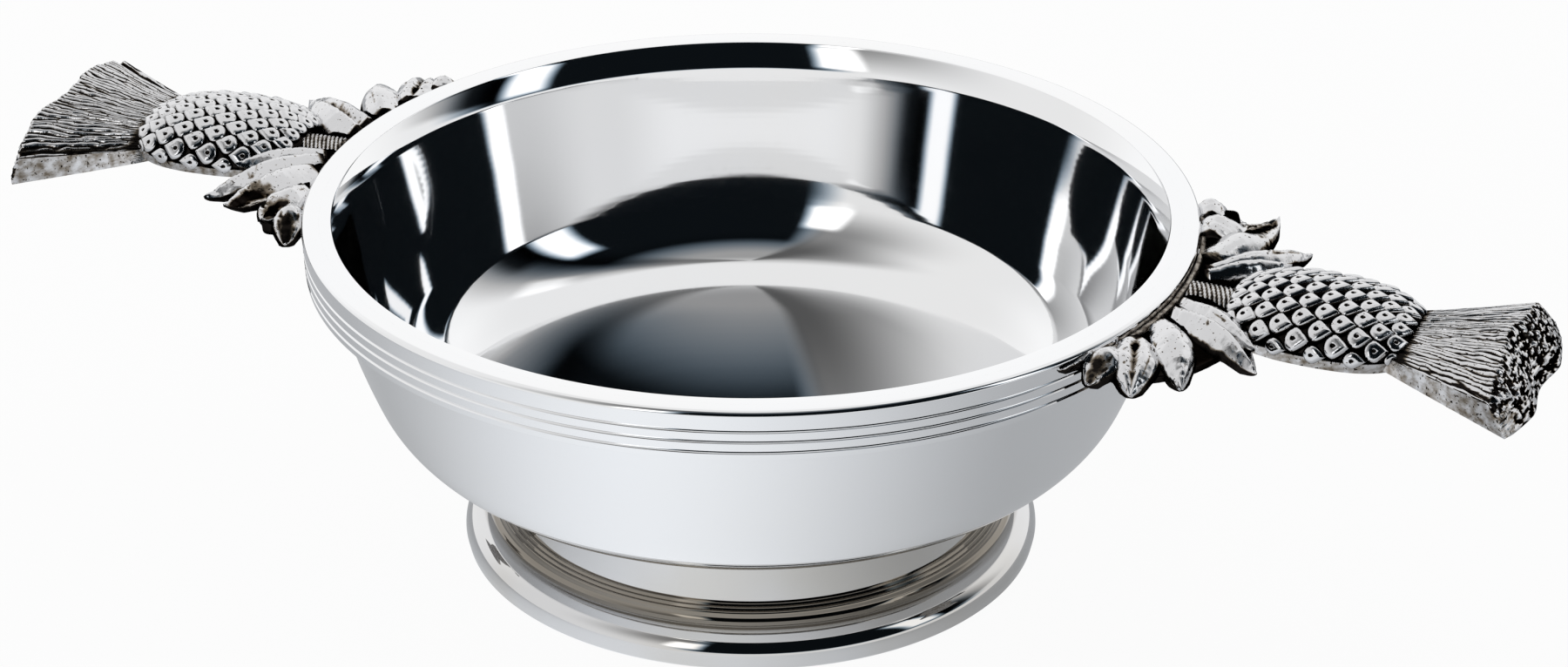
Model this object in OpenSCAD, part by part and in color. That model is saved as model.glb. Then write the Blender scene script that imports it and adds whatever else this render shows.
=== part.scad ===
// Quaich: a spun pewter bowl with a reeded rim band, a spun foot and two cast thistle handles.
// Millimetres. The origin is the middle of the foot's base, +Z is up and the handles lie along X.

/* [Bowl] */
// Diameter across the rim band
rim_d = 115; // [100:1:140]
// Height from the table to the rim
overall_h = 47; // [44:0.5:60]
// Thickness of the bowl's wall
wall_t = 1.5; // [1:0.1:2]
// Lean of the wall at the rim, in degrees
rim_lean = 7; // [5:0.5:10]
// Radius of the long curve down the side
side_r = 83; // [75:1:100]
// Lean of the wall where the side runs into the corner, in degrees
side_lean = 23; // [20:0.5:25]
// Radius of the corner between the side and the floor
corner_r = 15; // [12:0.5:17]
// Lean of the wall where the corner runs into the floor, in degrees
corner_lean = 68; // [65:0.5:74]
// The same lean on the inside, where a flatter floor leaves the middle thicker, in degrees
inside_lean = 70; // [69:0.5:74]
// Rounding of the lip's inner edge
lip_r = 0.4; // [0.2:0.1:0.6]

/* [Rim band] */
// Height of the band
band_h = 6.5; // [6:0.1:9]
// Thickness of the band at the lip
band_t = 2.2; // [1.6:0.1:3]
// How much narrower the band is at its lower edge
band_taper = 0.3; // [0:0.1:0.6]
// Rounding of the band's upper edge
band_edge_r = 0.7; // [0.3:0.1:1]
// Number of incised reeds
reed_count = 3; // [1:1:3]
// Depth of the first reed below the rim
reed_first = 2.6; // [1.8:0.1:2.8]
// Distance from reed to reed
reed_pitch = 1.4; // [0.8:0.1:1.5]
// Width of a reed
reed_w = 0.4; // [0.2:0.05:0.6]
// Depth of a reed
reed_depth = 0.25; // [0.1:0.05:0.4]

/* [Foot] */
// Widest diameter of the foot
foot_d = 75.8; // [72:0.2:84]
// Height of the upright edge of the base
foot_edge_h = 1.4; // [1:0.1:2]
// How far the upright edge draws in towards the table
foot_edge_taper = 0.25; // [0:0.05:0.5]
// Radius of the roll above the edge
roll_r = 3; // [2.4:0.1:3.4]
// Width of the flat between the roll and the cove
foot_flat_w = 0.1; // [0.1:0.1:0.6]
// Radius of the cove
cove_r = 1.2; // [0.8:0.1:1.4]
// Number of fine steps between the cove and the neck
step_count = 3; // [2:1:5]
// Rise of one step
step_rise = 0.33; // [0.2:0.01:0.4]
// Going of one step
step_going = 0.53; // [0.3:0.01:0.6]
// How much narrower the neck is under the bowl than at the steps
neck_taper = 0.6; // [0:0.1:1]
// Thickness of the neck
foot_wall_t = 1.8; // [1.4:0.1:2.4]
// Width of the flat ring that stands on the table
base_ring_w = 3.8; // [3:0.1:4.4]
// Height of the hollow's first slope above the table
base_hollow_h = 1.3; // [0.8:0.1:1.6]

/* [Handle] */
// Slope of the right handle's flat back, in degrees
right_tilt = 1.2; // [0:0.2:5]
// Slope of the left handle's flat back, in degrees
left_tilt = 1.8; // [0:0.2:5]
// Depth of the right handle's flat back below the rim, at the rim
right_depth = 3.8; // [3.4:0.1:5]
// Depth of the left handle's flat back below the rim, at the rim
left_depth = 4.2; // [3.4:0.1:5]
// Height of the root pad that carries the leaves
pad_h = 2.6; // [2:0.1:3.1]
// Width of the root pad
pad_w = 4.5; // [3.5:0.1:6]
// Length of the root pad along the rim
pad_l = 47; // [43:1:50]
// Radius of the stem
stem_r = 3.1; // [2.4:0.1:3.4]
// Height of the stem's underside above the flat back
stem_lift = 0.3; // [0.1:0.05:0.6]
// Number of rope turns on the stem
rope_turns = 9; // [8:1:12]
// Relief of a rope turn
rope_rise = 0.3; // [0.15:0.05:0.4]
// Slant of the rope turns, in degrees
rope_slant = 24; // [10:1:35]

/* [Bulb] */
// Distance from the rim to the start of the bulb
bulb_start = 6; // [5:0.5:7]
// Length of the bulb
bulb_l = 24.5; // [22:0.5:26]
// Width of the bulb under its scales
bulb_w = 18.6; // [16:0.2:21]
// Height of the bulb under its scales
bulb_h = 5.6; // [4.6:0.1:6.6]
// Fullness of the bulb's ends, where 2 is an ellipse
bulb_fullness = 2.5; // [2:0.1:3]
// Height of the plain flange under the bulb
flange_h = 1.3; // [0.8:0.1:1.8]
// How far the flange stands out from the bulb
flange_lip = 0.4; // [0.2:0.1:1]
// Number of half-lapped rows of scales along the bulb
scale_rows = 12; // [8:2:14]
// Number of half-lapped columns of scales across the bulb
scale_columns = 10; // [6:2:12]
// Relief of a scale
scale_h = 1; // [0.5:0.1:1.2]
// Depth of the eye in a scale
eye_depth = 0.35; // [0.1:0.05:0.5]
// How much the rows crowd together at the bulb's ends
row_crowding = 0.1; // [0:0.05:0.4]
// How much the columns crowd together at the bulb's sides, in degrees
column_crowding = 8; // [0:1:10]

/* [Leaves] */
// Height of a leaf at its root
leaf_root_h = 3.2; // [2.4:0.1:3.6]
// Rise of a leaf's back between root and tip
leaf_arch = 0.8; // [0.4:0.1:1.6]
// Depth of the fold along a leaf
leaf_fold = 0.45; // [0.1:0.05:0.7]
// How much of its height a leaf loses at the tip, as a share
leaf_thinning = 0.5; // [0.3:0.05:0.7]
// Height of a leaf's underside above the flat back, at its root
leaf_lift = 0.3; // [0.1:0.05:0.6]
// Distance of the leaf roots from the rim
leaf_root_gap = 1.2; // [0.9:0.1:2]
// How much higher the tips of the left handle's front leaves stand
left_leaf_raise = 1.3; // [0:0.1:2]
// Reach of the web under the leaves, from the rim
web_reach = 11; // [8:0.5:12]
// Length of the web along the rim
web_l = 46; // [40:1:50]
// Height of the web
web_h = 2.6; // [2.4:0.1:3]
// Height of the web's underside above the flat back
web_lift = 0.15; // [0.1:0.05:0.6]

/* [Floret] */
// Length of the floret
floret_l = 19.9; // [17:0.1:21]
// How far the floret's neck is tucked into the bulb
floret_tuck = 3.5; // [3:0.1:4]
// Height of the floret's underside above the flat back, at its neck
floret_lift = 0.4; // [0.1:0.05:0.6]
// Width of the floret at its end
floret_w = 30.4; // [24:0.2:34]
// Width of the floret at the neck
floret_neck_w = 14.6; // [13:0.2:15]
// How the sides sweep out, where 1 is straight
floret_flare = 1.05; // [1:0.05:1.4]
// Height of the floret at its end
floret_h = 6.6; // [5:0.1:7]
// Height of the floret at the neck
floret_neck_h = 2.6; // [2:0.1:3.6]
// How much lower the upper face is at its sides, as a share of the height
floret_crown = 0.42; // [0.2:0.01:0.5]
// How far the floret's underside droops at its end
floret_droop = 1.5; // [0:0.1:2]
// How early it droops, where 1 is an even slope and less is earlier
floret_droop_power = 0.8; // [0.6:0.1:2]
// Twist of the left handle's floret, in degrees
left_twist = -6; // [-8:1:8]
// How far the end bows out
floret_bow = 2.4; // [0:0.1:4]
// Depth of the shallow notch in the end's outline
floret_notch = 1.4; // [0:0.1:2]
// How far the right handle's end slopes back from its lower to its upper edge, in the middle
right_rake = 4.8; // [1:0.1:6]
// How far the left handle's end slopes back
left_rake = 2.2; // [1:0.1:6]
// How much the upper face is narrower than the lower one on each side
floret_side_draft = 0.8; // [0:0.1:2]
// Number of tufts across the floret
tuft_count = 11; // [7:2:15]
// Depth of the grooves between tufts
tuft_depth = 0.5; // [0.2:0.05:0.7]

/* [Fits] */
// Width of the solder seam between a handle and the band
seam_w = 0.8; // [0.6:0.1:1]
// How far the seam stays below the root pad's upper face
seam_drop = 0.1; // [0:0.05:0.4]
// Size of the solder fillet inside the foot
foot_fillet = 1; // [0.6:0.1:1.6]
// Film of clearance between neighbouring pieces
joint_gap = 0.05; // [0.02:0.01:0.1]

/* [Hidden] */
pewter = "#c9cbcf";
antiqued = "#8f8d8a";
solder = "#7a6a58";

// Facets of the round pieces, of the cut that fits a handle to the band, of the web and of the stem
round_fn = 180;
cut_fn = 144;
web_fn = 64;
stem_fn = 24;

// The bowl's outer curve is three tangent arcs, each named by its centre
rim_r = rim_d / 2;
bowl_r = rim_r - band_t - joint_gap;
side_c = [bowl_r - side_r * cos(rim_lean), overall_h + side_r * sin(rim_lean)];
corner_c = side_c + (side_r - corner_r) * [cos(side_lean), -sin(side_lean)];
corner_end = corner_c + corner_r * [cos(corner_lean), -sin(corner_lean)];
floor_r = corner_end[0] / cos(corner_lean);
floor_c = [0, corner_end[1] + floor_r * sin(corner_lean)];
side_steps = 10;
corner_steps = 16;
floor_steps = 12;
edge_steps = 6;

// Foot levels and radii, from the table up
foot_r = foot_d / 2;
roll_top = foot_edge_h + roll_r;
cove_x = foot_r - roll_r - foot_flat_w;
step_x = cove_x - cove_r;
step_z = roll_top + cove_r;
neck_r = step_x - step_count * step_going;
neck_z = step_z + step_count * step_rise;
neck_top_r = neck_r - neck_taper;
neck_in_r = neck_top_r - foot_wall_t;
roll_steps = 12;
cove_steps = 8;

// Form of a scale: how full it is, how it falls off towards its point, and the size and place of
// its eye in half laps
scale_roundness = 0.6;
scale_lean = 0.3;
eye_size = 0.45;
eye_shift = 0.25;

// Girth below which the scales fade out at the bulb's ends
bulb_end_fade = 0.5;

// Form of the floret's end: how late its crown and rake change towards the sides, the share of the
// rake that is left there, and the place and the half width of its notch, in shares of the half width
crown_power = 3;
side_rake_share = 0.58;
notch_at = -0.05;
notch_w = 0.5;

// Handle levels, in the handle's own frame: x from the rim, z from its flat back
bulb_half = bulb_l / 2;
bulb_mid = bulb_start + bulb_half;
floret_start = bulb_start + bulb_l - floret_tuck;
handle_l = floret_start + floret_l;
seam_angle = pad_l / rim_r * 180 / PI / 2;

// Each leaf: place of its root along the rim, heading off the handle's axis in degrees, length,
// width, and the height of its tip above the flat back
LEAVES_FIRST_SIDE = [
    [4.0, 36, 14.2, 4.6, 3.2],
    [6.6, 33, 15.4, 4.4, 2.4],
    [11.0, 61, 13.6, 5.0, 2.2],
    [16.2, 76, 11.3, 4.8, 1.6],
    [20.5, 104, 6.6, 4.2, 1.5]
];
LEAVES_SECOND_SIDE = [
    [4.0, 40, 12.6, 4.4, 2.4],
    [6.4, 51, 16.9, 4.2, 0.6],
    [11.0, 69, 14.6, 5.0, 2.8],
    [16.2, 84, 9.0, 4.6, 1.5],
    [20.5, 109, 7.6, 4.2, -0.4]
];

// A leaf's section, in shares of its half width and of its height, with the fold in the middle
LEAF_SECTION = [[-0.7, 0], [-1, 0.45], [-0.7, 0.85], [-0.3, 1], [0, 1], [0.3, 1], [0.7, 0.85],
                [1, 0.45], [0.7, 0]];

// Points on an arc about centre c, from angle a0 to angle a1
function arc(c, r, a0, a1, n) =
    [for (i = [0:n]) let (a = a0 + (a1 - a0) * i / n) c + r * [cos(a), sin(a)]];

// Lean of the bowl's curve, moved out by d, at a given depth below the rim
function lean_at(d, depth) = asin((side_c[1] - overall_h + depth) / (side_r + d));

// The bowl's side, moved out by d, between two depths below the rim
function side_curve(d, from, to) =
    arc(side_c, side_r + d, -lean_at(d, from), -lean_at(d, to), side_steps);

// The bowl's whole curve, moved out by d, from a depth below the rim to the axis, where the corner
// runs into the floor at a given lean
function bowl_curve(d, from, lean) =
    let (join = corner_c + (corner_r + d) * [cos(lean), -sin(lean)],
         r = join[0] / cos(lean))
    concat(
        arc(side_c, side_r + d, -lean_at(d, from), -side_lean, side_steps),
        arc(corner_c, corner_r + d, -side_lean, -lean, corner_steps),
        arc([0, join[1] + r * sin(lean)], r, -lean, -90, floor_steps));

// Height of the bowl's underside at radius r
function under_z(r) = r <= corner_end[0]
    ? floor_c[1] - sqrt(floor_r * floor_r - r * r)
    : corner_c[1] - sqrt(corner_r * corner_r - pow(r - corner_c[0], 2));

// Share of the bulb's full width at x, which runs from -1 to 1 along the bulb
function girth(x) = pow(max(0, 1 - pow(abs(x), bulb_fullness)), 1 / bulb_fullness);

// Relief of the scales at a given row and column, counted in half laps. Each scale is a drop,
// highest near its rounded end towards the bowl, where it has its eye
function relief(row, column) =
    let (p = (row + column) / 2,
         q = (row - column) / 2,
         dp = p - round(p),
         dq = q - round(q),
         swell = pow(max(0, 1 - 2 * max(abs(dp), abs(dq))), scale_roundness),
         eye = max(0, 1 - norm([dp + dq + eye_shift, dp - dq]) / eye_size))
    scale_h * swell * (1 - scale_lean * (dp + dq)) - eye_depth * eye;

// Point on the bulb at x, as above, and at an angle round from its top, raised by h
function bulb_point(x, turn, h) =
    let (half = bulb_w / 2 * girth(x) + h,
         rise = (bulb_h - flange_h) * girth(x) + h)
    [bulb_mid + bulb_half * x, half * sin(turn), flange_h + rise * cos(turn)];

// Half width of a leaf at share t of its length, for a leaf of half width 1
function leaf_spread(t) = t < 0.5
    ? 0.5 + 0.5 * sin(180 * t)
    : 0.1 + 0.9 * sqrt(1 - pow(2 * t - 1, 2));

// The list in reverse order
function turned(list) = [for (i = [len(list) - 1:-1:0]) list[i]];

module bowl() {
    inside = bowl_curve(-wall_t, lip_r, inside_lean);
    lip = arc([inside[0][0] + lip_r, overall_h - lip_r], lip_r, 180, 90, edge_steps);
    color(pewter)
        rotate_extrude($fn = round_fn)
            polygon(concat(bowl_curve(0, 0, corner_lean), turned(inside), lip));
}

module rim_band() {
    low_r = rim_r - band_taper;
    low_z = overall_h - band_h;
    edge_c = [rim_r - band_edge_r, overall_h - band_edge_r];
    edge = arc(edge_c, band_edge_r, 90, 0, edge_steps);
    reeds = [for (i = [0:reed_count - 1])
        let (z = overall_h - reed_first - i * reed_pitch,
             r = rim_r - band_taper * (overall_h - z) / band_h)
        each [[r, z + reed_w / 2], [r - reed_depth, z], [r, z - reed_w / 2]]];
    inside = turned(side_curve(joint_gap, 0, band_h));
    color(pewter)
        rotate_extrude($fn = round_fn)
            polygon(concat(edge, reeds, [[low_r, low_z]], inside));
}

module foot() {
    edge = [[foot_r - foot_edge_taper, 0]];
    roll = arc([foot_r - roll_r, foot_edge_h], roll_r, 0, 90, roll_steps);
    cove = arc([cove_x, step_z], cove_r, 270, 180, cove_steps);
    steps = [for (i = [0:step_count - 1])
        each [[step_x - i * step_going, step_z + (i + 1) * step_rise],
              [step_x - (i + 1) * step_going, step_z + (i + 1) * step_rise]]];
    top = [for (r = [neck_top_r, neck_in_r]) [r, under_z(r) - joint_gap]];
    hollow_r = foot_r - foot_edge_taper - base_ring_w;
    hollow = [[neck_in_r + neck_taper, neck_z], [hollow_r, base_hollow_h], [hollow_r, 0]];
    color(pewter)
        rotate_extrude($fn = round_fn)
            polygon(concat(edge, roll, cove, steps, top, hollow));
}

module foot_solder() {
    out_r = neck_in_r - joint_gap;
    in_r = out_r - foot_fillet;
    out_z = under_z(out_r) - joint_gap;
    in_z = under_z(in_r) - joint_gap;
    color(solder)
        rotate_extrude($fn = round_fn)
            polygon([[out_r, out_z - foot_fillet], [out_r, out_z], [in_r, in_z]]);
}

// A closed loft through rings of points, all with the same number of points. The quads are cut
// along alternating diagonals, so that a staggered relief keeps its ridges
module loft(rings) {
    n = len(rings[0]);
    last = len(rings) - 1;
    sides = [for (k = [0:last - 1], i = [0:n - 1])
        let (j = (i + 1) % n, a = k * n, b = a + n)
        each (i + k) % 2 == 0
            ? [[a + i, a + j, b + j], [a + i, b + j, b + i]]
            : [[a + i, a + j, b + i], [a + j, b + j, b + i]]];
    caps = [for (i = [1:n - 2]) each [[0, i + 1, i], [last * n, last * n + i, last * n + i + 1]]];
    polyhedron(points = [for (ring = rings) each ring], faces = concat(sides, caps));
}

// One leaf along +X from its root, with a fold down its back and an undercut tip
module leaf(l, w, tip_h) {
    stations = 8;
    loft([for (k = [0:stations])
        let (t = k / stations,
             half = w / 2 * leaf_spread(t),
             arch = leaf_arch * sin(180 * t),
             crest = leaf_root_h + arch + (tip_h - leaf_root_h) * t * t,
             rise = (leaf_root_h - leaf_lift) * (1 - leaf_thinning * t) + arch * (1 - t),
             fold = leaf_fold * sin(180 * t))
        [for (p = LEAF_SECTION)
            [l * t, half * p[0], crest - rise * (1 - p[1]) - (p[0] == 0 ? fold : 0)]]]);
}

// The spray of leaves on one side of the stem, with their tips raised
module leaf_spray(leaves, raise) {
    for (v = leaves) {
        bearing = v[0] / rim_r * 180 / PI;
        translate([-rim_r, 0, 0])
            rotate(bearing)
                translate([rim_r + leaf_root_gap, 0, 0])
                    rotate(v[1] - bearing)
                        leaf(v[2], v[3], v[4] + raise);
    }
}

// The pad along the rim that the leaves spring from
module root_pad() {
    translate([-rim_r, 0, 0])
        rotate(-seam_angle)
            rotate_extrude(angle = 2 * seam_angle, $fn = cut_fn)
                translate([rim_r, 0])
                    square([pad_w, pad_h]);
}

// The web of metal behind the leaves, an ellipse about the handle's root
module leaf_web() {
    translate([0, 0, web_lift])
        scale([web_reach, web_l / 2, 1])
            cylinder(r = 1, h = web_h, $fn = web_fn);
}

// The short stem with its slanting rope turns
module stem() {
    rope_w = (bulb_start - stem_r * tan(rope_slant)) / rope_turns;
    ridge_share = 0.2;
    ridge_edge = 0.05;
    reach = 2 * handle_l;
    intersection() {
        union() {
            rotate([0, 90, 0])
                cylinder(r = stem_r, h = bulb_start + stem_r, $fn = stem_fn);
            for (i = [1:rope_turns])
                hull()
                    for (side = [-ridge_share, ridge_share])
                        translate([(i + side) * rope_w, 0, 0])
                            rotate([0, 90, rope_slant])
                                cylinder(r = stem_r + rope_rise, h = ridge_edge, $fn = stem_fn);
        }
        translate([-reach, -reach, stem_lift])
            cube(2 * reach);
    }
}

// The bulb: a dome of staggered scales that stands on a plain flange
module bulb() {
    samples = 4;
    dome_end = 0.99;
    edge_fade = 12;
    stations = samples * scale_rows;
    sides = samples * scale_columns;
    loft([for (k = [0:stations])
        let (t = 2 * k / stations - 1,
             x = dome_end * t * (1 + row_crowding - row_crowding * t * t),
             half = bulb_w / 2 * girth(x) + flange_lip,
             at = bulb_mid + bulb_half * x)
        concat(
            [[at, -half, 0], [at, -half, flange_h]],
            [for (i = [1:sides - 1])
                let (turn = 180 * i / sides - 90 + column_crowding * sin(360 * i / sides),
                     fade = min(1, (90 - abs(turn)) / edge_fade) * min(1, girth(x) / bulb_end_fade))
                bulb_point(x, turn, fade * relief(k / samples, i / samples))],
            [[at, half, flange_h], [at, half, 0]])]);
}

// Reach of the floret's lower edge at share g of its half width, from -1 to 1
function floret_reach(g) =
    floret_l - floret_bow * g * g
    - floret_notch * pow(max(0, 1 - pow((g - notch_at) / notch_w, 2)), 2);

// How far the floret's upper edge lies behind its lower one at g
function end_rake(g, rake) = rake * (1 - (1 - side_rake_share) * pow(abs(g), crown_power));

// The floret: a fan of grooved tufts with a bowed, notched and raked end
module floret(rake) {
    stations = 5;
    columns = 2 * tuft_count;
    loft([for (k = [0:stations])
        let (t = k / stations,
             half = (floret_neck_w + (floret_w - floret_neck_w) * pow(t, floret_flare)) / 2,
             h = floret_neck_h + (floret_h - floret_neck_h) * t,
             low = floret_lift - (floret_lift + floret_droop) * pow(t, floret_droop_power))
        concat(
            [for (i = [0:columns])
                let (g = 2 * i / columns - 1)
                [floret_start + (floret_reach(g) - end_rake(g, rake)) * t,
                 (half - floret_side_draft) * g,
                 low + h * (1 - floret_crown * pow(abs(g), crown_power)) - (i % 2 == 0 ? tuft_depth : 0)]],
            [for (i = [columns:-1:0])
                let (g = 2 * i / columns - 1)
                [floret_start + floret_reach(g) * t, half * g, low]])]);
}

// One handle, in the bowl's frame, pointing along +X
module handle(tilt, depth, twist, rake, raise) {
    difference() {
        translate([rim_r, 0, overall_h - depth])
            rotate([0, tilt, 0]) {
                root_pad();
                leaf_web();
                stem();
                bulb();
                translate([0, 0, floret_h / 2])
                    rotate([twist, 0, 0])
                        translate([0, 0, -floret_h / 2])
                            floret(rake);
                leaf_spray(LEAVES_SECOND_SIDE, raise);
                mirror([0, 1, 0])
                    leaf_spray(LEAVES_FIRST_SIDE, 0);
            }
        cylinder(r = rim_r + seam_w, h = 2 * overall_h, $fn = cut_fn);
    }
}

// The solder seam of one handle, in the bowl's frame, on the +X side
module handle_seam(depth) {
    rotate(-seam_angle)
        rotate_extrude(angle = 2 * seam_angle, $fn = round_fn)
            translate([rim_r + joint_gap, overall_h - depth])
                square([seam_w - 2 * joint_gap, pad_h - seam_drop]);
}

module handle_right() {
    color(antiqued)
        handle(right_tilt, right_depth, 0, right_rake, 0);
}

module handle_right_solder() {
    color(solder)
        handle_seam(right_depth);
}

module handle_left() {
    color(antiqued)
        rotate(180)
            handle(left_tilt, left_depth, left_twist, left_rake, left_leaf_raise);
}

module handle_left_solder() {
    color(solder)
        rotate(180)
            handle_seam(left_depth);
}

bowl();
rim_band();
foot();
foot_solder();
handle_right();
handle_right_solder();
handle_left();
handle_left_solder();
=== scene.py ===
"""Dresses a pewter quaich: a mirror bowl with a reeded rim band, a spun foot and two cast thistle handles."""
import logging
import math
from dataclasses import dataclass
from enum import Enum

import bpy
import numpy as np
from mathutils import Matrix, Vector, noise


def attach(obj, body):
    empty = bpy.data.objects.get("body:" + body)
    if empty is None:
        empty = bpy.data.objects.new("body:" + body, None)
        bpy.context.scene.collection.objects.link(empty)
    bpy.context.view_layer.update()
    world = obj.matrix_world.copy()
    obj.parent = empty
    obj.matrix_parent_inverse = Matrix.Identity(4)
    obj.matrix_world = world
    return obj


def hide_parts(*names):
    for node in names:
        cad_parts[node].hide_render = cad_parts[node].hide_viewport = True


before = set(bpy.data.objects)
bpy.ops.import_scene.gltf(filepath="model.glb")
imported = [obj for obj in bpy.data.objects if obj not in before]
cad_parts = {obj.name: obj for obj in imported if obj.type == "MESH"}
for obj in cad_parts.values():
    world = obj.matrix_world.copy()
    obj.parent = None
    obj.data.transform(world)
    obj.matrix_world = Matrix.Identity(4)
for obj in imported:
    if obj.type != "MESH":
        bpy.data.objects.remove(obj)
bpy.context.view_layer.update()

LOG = logging.getLogger("quaich")
MM = 0.001
Array = np.ndarray
Point = tuple[float, float]
Outline = list[Point]
Colour = tuple[float, float, float, float]
Obj = bpy.types.Object
Socket = bpy.types.NodeSocket
WHITE: Colour = (1, 1, 1, 1)
MERGE_M = 1e-7


class Slot(Enum):
    """The record's material slots."""

    POLISHED = "polished_pewter"
    ANTIQUED = "antiqued_pewter"
    SOLDER = "solder"


class Side(Enum):
    """The two handles, by the turn that brings each one to its side, in degrees."""

    RIGHT = 0
    LEFT = 180


def select_only(obj: Obj) -> None:
    """Makes one object the only selected one, and the active one.

    Args:
        obj: the object that the next operators act on.
    """
    bpy.ops.object.select_all(action="DESELECT")
    obj.select_set(True)
    bpy.context.view_layer.objects.active = obj


def close_mesh(obj: Obj, crease: float) -> None:
    """Merges doubled points, drops lone faces, caps open ends, and turns the faces outwards, smooth.

    Args:
        obj: the mesh object.
        crease: angle in degrees above which an edge stays sharp.
    """
    select_only(obj)
    bpy.ops.object.mode_set(mode="EDIT")
    bpy.ops.mesh.select_all(action="SELECT")
    bpy.ops.mesh.remove_doubles(threshold=MERGE_M)
    bpy.ops.mesh.dissolve_degenerate(threshold=MERGE_M)
    bpy.ops.mesh.select_mode(type="EDGE")
    bpy.ops.mesh.select_non_manifold(extend=False, use_wire=False, use_multi_face=False,
                                     use_non_contiguous=False, use_verts=False)
    bpy.ops.mesh.select_mode(type="FACE")
    bpy.ops.mesh.delete(type="FACE")
    bpy.ops.mesh.select_mode(type="VERT")
    bpy.ops.mesh.select_all(action="SELECT")
    bpy.ops.mesh.fill_holes(sides=0)
    bpy.ops.mesh.select_all(action="SELECT")
    bpy.ops.mesh.normals_make_consistent(inside=False)
    bpy.ops.object.mode_set(mode="OBJECT")
    bpy.ops.object.shade_smooth_by_angle(angle=math.radians(crease))


def add_grid(name: str, columns: int, rows: int) -> tuple[Obj, Array, Array]:
    """Adds a grid to be shaped.

    Args:
        name: the object's name.
        columns: faces along u.
        rows: faces along v.

    Returns:
        The object, and u and v of each of its points, from 0 to 1.
    """
    bpy.ops.object.select_all(action="DESELECT")
    bpy.ops.mesh.primitive_grid_add(x_subdivisions=columns, y_subdivisions=rows, size=2)
    obj = bpy.context.object
    obj.name = name
    points = np.empty(len(obj.data.vertices) * 3)
    obj.data.vertices.foreach_get("co", points)
    points = points.reshape(-1, 3)
    return obj, (points[:, 0] + 1) / 2, (points[:, 1] + 1) / 2


def set_patina_and_shade(obj: Obj, values: Array | float) -> None:
    """Writes how dark each point is: patina in its hollows, and painted shade on sides, undersides and joints.

    Args:
        obj: the mesh object.
        values: from 0 on rubbed high points to 1 where the patina and the painted shade are blackest.
    """
    attribute = obj.data.attributes.new("recess", "FLOAT", "POINT")
    spread = np.broadcast_to(np.clip(values, 0, 1), len(obj.data.vertices))
    attribute.data.foreach_set("value", spread.astype(np.float32))


def shape_grid(obj: Obj, points: tuple[Array, Array, Array], crease: float, recess: Array | None = None) -> Obj:
    """Moves a grid's points, and closes it into a skin.

    Args:
        obj: the grid.
        points: new x, y and z of each point, in millimetres.
        crease: angle in degrees above which an edge stays sharp.
        recess: how dark each point is, by its patina and by painted shade, if the piece has them.

    Returns:
        The same object.
    """
    stacked = np.stack(np.broadcast_arrays(*points), axis=1) * MM
    obj.data.vertices.foreach_set("co", stacked.astype(np.float32).ravel())
    obj.data.update()
    if recess is not None:
        set_patina_and_shade(obj, recess)
    close_mesh(obj, crease)
    return obj


def ring(v: Array) -> tuple[Array, Array]:
    """Sine and cosine of the turn round a section.

    Args:
        v: share of the full turn, with the section's top in the middle.

    Returns:
        Both at each point.
    """
    angle = (v - 0.5) * 2 * math.pi
    return np.sin(angle), np.cos(angle)


def shut_ends(u: Array, rate: float) -> Array:
    """How far a section is open: 0 at both ends of a grid, and soon 1.

    Args:
        u: place along the grid, from 0 to 1.
        rate: how soon it opens.

    Returns:
        The share at each point.
    """
    return np.clip(u * rate, 0, 1) * np.clip((1 - u) * rate, 0, 1)


def boxy(wave: Array, power: float) -> Array:
    """Fills out a sine or cosine towards a square.

    Args:
        wave: values from -1 to 1.
        power: 1 keeps a circle, and less is boxier.

    Returns:
        The filled-out values.
    """
    return np.sign(wave) * np.abs(wave) ** power


def grain(x: Array, y: Array, z: Array, scale: float, seed: float = 0.0) -> Array:
    """Smooth noise at each point.

    Args:
        x: coordinates in millimetres.
        y: coordinates in millimetres.
        z: coordinates in millimetres.
        scale: bumps per millimetre.
        seed: shifts the pattern.

    Returns:
        Values from about -1 to 1.
    """
    stacked = np.stack(np.broadcast_arrays(x, y, z), axis=1) * scale + seed
    return np.array([noise.noise(Vector(p)) for p in stacked])


def smoothstep(low: float, high: float, x: Array) -> Array:
    """A smooth rise from 0 at low to 1 at high.

    Args:
        low: where the rise starts.
        high: where the rise ends.
        x: the values.

    Returns:
        The risen values.
    """
    t = np.clip((x - low) / (high - low), 0, 1)
    return t * t * (3 - 2 * t)


def arc(centre: tuple[float, float], radius: float, start: float, end: float, steps: int) -> Outline:
    """Points on an arc.

    Args:
        centre: its centre, as radius and height in millimetres.
        radius: its radius.
        start: first angle in degrees.
        end: last angle.
        steps: number of chords.

    Returns:
        The points in order.
    """
    angles = [math.radians(start + (end - start) * i / steps) for i in range(steps + 1)]
    return [(centre[0] + radius * math.cos(a), centre[1] + radius * math.sin(a)) for a in angles]


def join(pieces: list[Obj], name: str) -> Obj:
    """Joins objects into one.

    Args:
        pieces: the objects, of which the first one is kept.
        name: the joined object's name.

    Returns:
        The joined object.
    """
    select_only(pieces[0])
    for piece in pieces[1:]:
        piece.select_set(True)
    bpy.ops.object.join()
    pieces[0].name = name
    pieces[0].data.name = name
    return pieces[0]


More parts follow.
